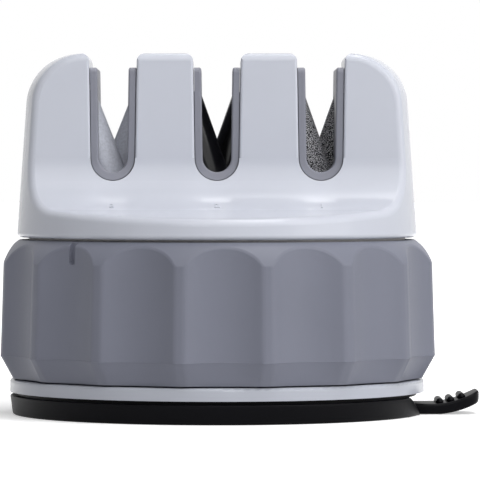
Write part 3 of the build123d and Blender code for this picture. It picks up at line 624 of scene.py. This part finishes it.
# Screws: plated pan heads with a cross recess and a rolled thread. Two long ones come up through
# the column, and small ones hold the cam sleeve, the core halves and the shell.
small_screw = {"shank": 1.1, "head": 2.1, "head_height": 1.5, "length": 7.0, "pitch": 0.9}
long_screw = {"shank": 1.5, "head": 2.8, "head_height": 1.9, "length": 27.7, "pitch": 1.2}
thread_columns = 28
thread_rows = 8
root_share = 0.78
crest_share = 0.3
point_share = 0.45
recess_share = 0.6
recess_half_share = 0.13
recess_depth_share = 0.75
recess_taper = 0.55
recess_overrun = 0.1
dome_share = 0.45
dome_power = 0.6
dome_steps = 8
head_columns = 48
seat_lap = 0.06
seat_edge = 0.1


def screw_shank(name, sizes):
    """Pointed shank that stands on zero height, with one rolled thread winding up it."""
    root = sizes["shank"] * root_share
    length = sizes["length"]
    rows = int(length / sizes["pitch"] * thread_rows)
    points = []
    for column in range(thread_columns):
        angle = 2 * math.pi * column / thread_columns
        for row in range(rows + 1):
            height = length * row / rows
            phase = (height / sizes["pitch"] - column / thread_columns) % 1
            crest = max(0, 1 - abs(phase - 0.5) / crest_share)
            fade = min(1, height / sizes["pitch"], (length - height) / sizes["pitch"] / 2)
            reach = root + (sizes["shank"] - root) * crest * fade
            reach *= point_share + (1 - point_share) * min(1, (length - height) / sizes["shank"])
            points.append((reach * math.cos(angle), reach * math.sin(angle), height))
    faces = grid_faces(thread_columns, rows + 1, close_rows=False)
    for end_row in (0, rows):
        faces.append(tuple(column * (rows + 1) + end_row for column in range(thread_columns)))
    return mesh_piece(name + "_shank", points, faces, zinc_steel, smooth_angle=60)


def recess_arm(name, sizes, turn):
    """Tapered block that cuts one arm of the cross recess."""
    arm = sizes["head"] * recess_share
    half_arm = sizes["head"] * recess_half_share
    depth = sizes["head_height"] * recess_depth_share
    corners = []
    for share, height in ((1.0, -recess_overrun), (recess_taper, depth)):
        for x, y in ((-arm, -half_arm), (arm, -half_arm), (arm, half_arm), (-arm, half_arm)):
            corner = Vector((x * share, y, height - sizes["head_height"]))
            corners.append(tuple(Matrix.Rotation(math.radians(turn), 3, "Z") @ corner * mm))
    sides = [(0, 3, 2, 1), (4, 5, 6, 7), (0, 1, 5, 4), (1, 2, 6, 5), (2, 3, 7, 6), (3, 0, 4, 7)]
    cutter = bpy.data.meshes.new(name + "_recess")
    cutter.from_pydata(corners, [], sides)
    cutter_piece = bpy.data.objects.new(name + "_recess", cutter)
    bpy.context.scene.collection.objects.link(cutter_piece)
    return cutter_piece


def screw_mesh(name, sizes):
    """Screw whose domed head lies under zero height and whose threaded shank points up."""
    rim = dome_share * sizes["head_height"] - sizes["head_height"]
    profile = [(0, seat_lap), (sizes["head"] - seat_edge, seat_lap), (sizes["head"], seat_lap - seat_edge)]
    profile.append((sizes["head"], rim))
    for step in range(1, dome_steps):
        angle = math.radians(90 * step / dome_steps)
        dome = sizes["head_height"] * dome_share * math.sin(angle)
        profile.append((sizes["head"] * math.cos(angle) ** dome_power, rim - dome))
    profile.append((0, -sizes["head_height"]))
    head = mesh_piece(name, *turned(profile, head_columns), zinc_steel)
    combine(head, "DIFFERENCE", recess_arm(name, sizes, 0), recess_arm(name, sizes, 90))
    return combine(head, "UNION", screw_shank(name, sizes))


screw_set, set_in, set_out = node_group("screw_set", {"Scale": 1.0})
screw_set.interface.new_socket(name="Screw", in_out="INPUT", socket_type="NodeSocketObject")
set_info = screw_set.nodes.new("GeometryNodeObjectInfo")
set_turn = add_node(screw_set, "GeometryNodeInputNamedAttribute", data_type="FLOAT_VECTOR", Name="turn")
set_places = screw_set.nodes.new("GeometryNodeInstanceOnPoints")
set_real = screw_set.nodes.new("GeometryNodeRealizeInstances")
set_finish = screw_set.nodes.new("GeometryNodeSetMaterial")
set_finish.inputs["Material"].default_value = zinc_steel
link = screw_set.links.new
link(set_in.outputs["Screw"], set_info.inputs["Object"])
link(set_in.outputs["Geometry"], set_places.inputs["Points"])
link(set_info.outputs["Geometry"], set_places.inputs["Instance"])
link(set_turn.outputs["Attribute"], set_places.inputs["Rotation"])
link(set_in.outputs["Scale"], set_places.inputs["Scale"])
link(set_places.outputs[0], set_real.inputs[0])
link(set_real.outputs[0], set_finish.inputs["Geometry"])
link(set_finish.outputs[0], set_out.inputs["Geometry"])
small_pattern = screw_mesh("small_screw", small_screw)
long_pattern = screw_mesh("long_screw", long_screw)
point_down = math.pi
turn_step = 0.6
column_reach = 10.4
column_seat = 9.1
cam_reach = 21.4
cam_seat = 32.3
floor_seat = 35.2
core_reach = 27.5
core_half_gap = 5.2
shell_reach = 33.9
quarter_turns = ((1, 0), (0, 1), (-1, 0), (0, -1))
cam_places = [(x * cam_reach, y * cam_reach, cam_seat) for x, y in quarter_turns]
core_places = []
for x in (-core_reach, core_reach):
    core_places += [(x, y, floor_seat) for y in (-core_half_gap, core_half_gap)]
screw_rows = {
    "column_screws": ("base", long_pattern, [(side * column_reach, 0, column_seat) for side in (-1, 1)], 0),
    "cam_screws": ("dial", small_pattern, cam_places, point_down),
    "core_screws": ("base", small_pattern, core_places, 0),
    "shell_screws": ("base", small_pattern, [(side * shell_reach, 0, floor_seat) for side in (-1, 1)], 0),
}
for node, (body, pattern, places, tip) in screw_rows.items():
    turns = [(tip, 0, turn_step * place) for place in range(len(places))]
    screws = point_cloud("visual_" + node, places, turns)
    grow(screws, screw_set, {"Screw": pattern, "Scale": 1.0})
    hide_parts(node)
    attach(screws, body)
bpy.data.objects.remove(small_pattern)
bpy.data.objects.remove(long_pattern)

# Lift plunger and cross pin: a black nylon plunger that slides in the column, with a ground steel
# pin pressed through it. The pin's ends run in the cam sleeve's slots.


def matte_plastic(name, colour, roughness, spread=0.06, specular=0.5):
    """Moulded plastic with a fine spark-eroded grain."""
    material, shader = noise_finish(
        name,
        colour,
        shades=(1 - spread, 1 + spread),
        stops=(0.25, 0.75),
        cloud=(60.0, 3.0),
        grain=(2600.0, 3.0),
        gloss=(roughness - 0.05, roughness + 0.08),
        bump=(0.15, 0.00004),
    )
    shader.inputs["Specular IOR Level"].default_value = specular
    return material


plunger_nylon = matte_plastic("plunger_nylon", (0.02, 0.02, 0.022), 0.45)
dress("lift_plunger", plunger_nylon)
pin_steel = plated_steel("pin_steel", (0.62, 0.62, 0.63), 0.2)
dress("cross_pin", pin_steel)

# Return spring: drawn steel wire, five turns between the plunger and the head's floor. The real spring
# shortens by the 3 mm that the plunger rises; this coil keeps one length and rides the base.
spring_radius = 5.4
wire_radius = 0.55
spring_turns = 5
spring_clear = 0.1
spring_foot = 22.5
spring_seat = 33.0
wire_sides = 12
steps_per_turn = 40
coil_points = []
coil_steps = spring_turns * steps_per_turn
coil_low = spring_foot + wire_radius + spring_clear
coil_rise = spring_seat - wire_radius - spring_clear - coil_low
for step in range(coil_steps + 1):
    angle = 2 * math.pi * step / steps_per_turn
    height = coil_low + coil_rise * step / coil_steps
    for side in range(wire_sides):
        around = 2 * math.pi * side / wire_sides
        reach = spring_radius + wire_radius * math.cos(around)
        rise = wire_radius * math.sin(around)
        coil_points.append((reach * math.cos(angle), reach * math.sin(angle), height + rise))
coil_faces = grid_faces(coil_steps + 1, wire_sides, close_columns=False)
coil_faces.append(tuple(range(wire_sides)))
coil_faces.append(tuple(range(coil_steps * wire_sides, (coil_steps + 1) * wire_sides)))
spring_wire = plated_steel("spring_wire", (0.42, 0.42, 0.43), 0.3)
coil = mesh_piece("spring_coil", coil_points, coil_faces, spring_wire)
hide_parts("return_spring")
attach(coil, "base")
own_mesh(coil)

# Washers and cam sleeve: natural acetal rings under and over a dark acetal sleeve, which is bolted
# to the dial's deck and turns with it.
acetal_natural = matte_plastic("acetal_natural", (0.62, 0.61, 0.57), 0.4)
dress("lower_washer", acetal_natural)
dress("upper_washer", acetal_natural)
acetal_dark = matte_plastic("acetal_dark", (0.05, 0.05, 0.055), 0.4)
dress("cam_sleeve", acetal_dark)

# Locking dial: satin grey moulded plastic with a fine grain. A thin flash line follows the flutes
# where the two halves of its mould met, low on the side.
dial_satin = matte_plastic("dial_satin", (0.172, 0.180, 0.224), 0.42, spread=0.03, specular=0.22)
dress("dial_ring", dial_satin)
flash_height = 11.8
flash_rise = 0.07
flash_half = 0.07
flash_root = 0.15
flash_lap = 0.02
side_reach = 39.5
angle_digits = 3
fine_smooth_limit = 30
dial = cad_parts["dial_ring"]
dial.data.calc_loop_triangles()
corners = [dial.matrix_world @ corner.co / mm for corner in dial.data.vertices]
crossings = {}
for triangle in dial.data.loop_triangles:
    ends = [corners[index] for index in triangle.vertices]
    for start, end in ((ends[0], ends[1]), (ends[1], ends[2]), (ends[2], ends[0])):
        if (start.z - flash_height) * (end.z - flash_height) < 0:
            crossing = start.lerp(end, (flash_height - start.z) / (end.z - start.z))
            reach = math.hypot(crossing.x, crossing.y)
            if reach > side_reach:
                crossings[round(math.atan2(crossing.y, crossing.x), angle_digits)] = reach
flash_section = [(-flash_root, -flash_half), (flash_lap, -flash_half), (flash_rise, 0)]
flash_section += [(flash_lap, flash_half), (-flash_root, flash_half)]
flash_points = []
for angle in sorted(crossings):
    for step, rise in flash_section:
        out = crossings[angle] + step
        flash_points.append((out * math.cos(angle), out * math.sin(angle), flash_height + rise))
flash_faces = grid_faces(len(crossings), len(flash_section))
flash_line = mesh_piece("mould_flash", flash_points, flash_faces, dial_satin, fine_smooth_limit)
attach(flash_line, "dial")

# Head floor: a pale grey moulded plate under the head, bolted to the column. Its skirt closes the
# seam between the head and the dial.
floor_plastic = matte_plastic("floor_plastic", (0.75, 0.72, 0.72), 0.5)
dress("head_floor", floor_plastic)

# Head shell: glossy white moulding. The slots' grades are marked 3, 2 and 1 on the scooped foot by
# small raised numerals, as moulded.
head_white = gloss_plastic("head_white", (0.55, 0.57, 0.637), 0.17, specular=0.27)
dress("head_shell", head_white)
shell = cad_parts["head_shell"]
shell_tree = BVHTree.FromPolygons(
    [shell.matrix_world @ corner.co for corner in shell.data.vertices],
    [tuple(face.vertices) for face in shell.data.polygons],
)
numeral_height = 1.75
numeral_rise = 0.12
numeral_sink = 0.1
numeral_bevel = 0.03
capital_share = 0.7
mark_height = 41.2
slot_spacing = 20.4
for place_number, grade in enumerate("321"):
    reach = (place_number - 1) * slot_spacing
    eye = Vector((reach * mm, -camera_distance, mark_height * mm))
    place, normal = shell_tree.ray_cast(eye, Vector((0, 1, 0)))[:2]
    if normal.y > 0:
        normal = -normal
    letters = bpy.data.curves.new("numeral_" + grade, "FONT")
    letters.body = grade
    letters.size = numeral_height / capital_share * mm
    letters.extrude = (numeral_rise + numeral_sink) / 2 * mm
    letters.bevel_depth = numeral_bevel * mm
    letters.bevel_resolution = 2
    letters.align_x = "CENTER"
    letters.align_y = "CENTER"
    holder = bpy.data.objects.new("numeral_curve", letters)
    bpy.context.scene.collection.objects.link(holder)
    bpy.context.view_layer.update()
    mesh = bpy.data.meshes.new_from_object(holder.evaluated_get(bpy.context.evaluated_depsgraph_get()))
    bpy.data.objects.remove(holder)
    along = Vector((1, 0, 0))
    up = normal.cross(along).normalized()
    turn = Matrix((along, up, normal)).transposed().to_4x4()
    middle_rise = (numeral_rise - numeral_sink) / 2 * mm
    mesh.transform(Matrix.Translation(place + normal * middle_rise) @ turn)
    mesh.name = "numeral_" + grade
    build = bmesh.new()
    build.from_mesh(mesh)
    bmesh.ops.remove_doubles(build, verts=build.verts, dist=sliver_gap * mm)
    build.to_mesh(mesh)
    build.free()
    mesh.materials.clear()
    mesh.materials.append(head_white)
    mesh.shade_smooth()
    mesh.set_sharp_from_angle(angle=math.radians(fine_smooth_limit))
    numeral = bpy.data.objects.new("numeral_" + grade, mesh)
    bpy.context.scene.collection.objects.link(numeral)
    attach(numeral, "base")

# Core halves: satin grey plastic, screwed to the head's floor. Each half is one moulding with its
# share of the three U liners and the sleeves that hold the rods.
core_grey = matte_plastic("core_grey", (0.225, 0.23, 0.27), 0.36, spread=0.03, specular=0.2)
dress("core_front", core_grey)
dress("core_rear", core_grey)

# Sharpening rods: fine ones of pale fired ceramic, medium ones of polished black ceramic, coarse
# ones of steel with diamond grit held in nickel. They are pressed into the core's sleeves.


def ceramic_material(name, colour, roughness):
    """Fired ceramic with fine pores and specks."""
    material, tree, shader = new_material(name)
    place = tree.nodes.new("ShaderNodeTexCoord")
    specks = add_node(tree, "ShaderNodeTexNoise", Scale=2200.0, Detail=4.0)
    tint = tree.nodes.new("ShaderNodeValToRGB")
    tint.color_ramp.elements[0].position = 0.35
    tint.color_ramp.elements[0].color = (*[c * 0.85 for c in colour], 1)
    tint.color_ramp.elements[1].position = 0.65
    tint.color_ramp.elements[1].color = (*colour, 1)
    bump = add_node(tree, "ShaderNodeBump", Strength=0.15, Distance=0.00003)
    shader.inputs["Roughness"].default_value = roughness
    tree.links.new(place.outputs["Object"], specks.inputs["Vector"])
    tree.links.new(specks.outputs["Fac"], tint.inputs["Fac"])
    tree.links.new(tint.outputs["Color"], shader.inputs["Base Color"])
    tree.links.new(specks.outputs["Fac"], bump.inputs["Height"])
    tree.links.new(bump.outputs["Normal"], shader.inputs["Normal"])
    return material


fine_ceramic = ceramic_material("fine_ceramic", (0.62, 0.64, 0.71), 0.5)
medium_ceramic = ceramic_material("medium_ceramic", (0.002, 0.002, 0.003), 0.25)

diamond_coat, coat_tree, coat_shader = new_material("diamond_coat")
coat_place = coat_tree.nodes.new("ShaderNodeTexCoord")
coat_grit = add_node(coat_tree, "ShaderNodeTexVoronoi", Scale=5200.0)
coat_tint = coat_tree.nodes.new("ShaderNodeValToRGB")
coat_tint.color_ramp.elements[0].position = 0.12
coat_tint.color_ramp.elements[0].color = (0.85, 0.85, 0.88, 1)
coat_tint.color_ramp.elements[1].position = 0.6
coat_tint.color_ramp.elements[1].color = (0.01, 0.01, 0.012, 1)
coat_bump = add_node(coat_tree, "ShaderNodeBump", Strength=0.6, Distance=0.00008)
coat_bump.invert = True
coat_shader.inputs["Roughness"].default_value = 0.45
coat_shader.inputs["Specular IOR Level"].default_value = 0.1
coat_tree.links.new(coat_place.outputs["Object"], coat_grit.inputs["Vector"])
coat_tree.links.new(coat_grit.outputs["Distance"], coat_tint.inputs["Fac"])
coat_tree.links.new(coat_tint.outputs["Color"], coat_shader.inputs["Base Color"])
coat_tree.links.new(coat_grit.outputs["Distance"], coat_bump.inputs["Height"])
coat_tree.links.new(coat_bump.outputs["Normal"], coat_shader.inputs["Normal"])

for grade, material in (("fine", fine_ceramic), ("medium", medium_ceramic), ("coarse", diamond_coat)):
    for where in ("front", "rear"):
        dress(f"{grade}_rod_{where}", material)
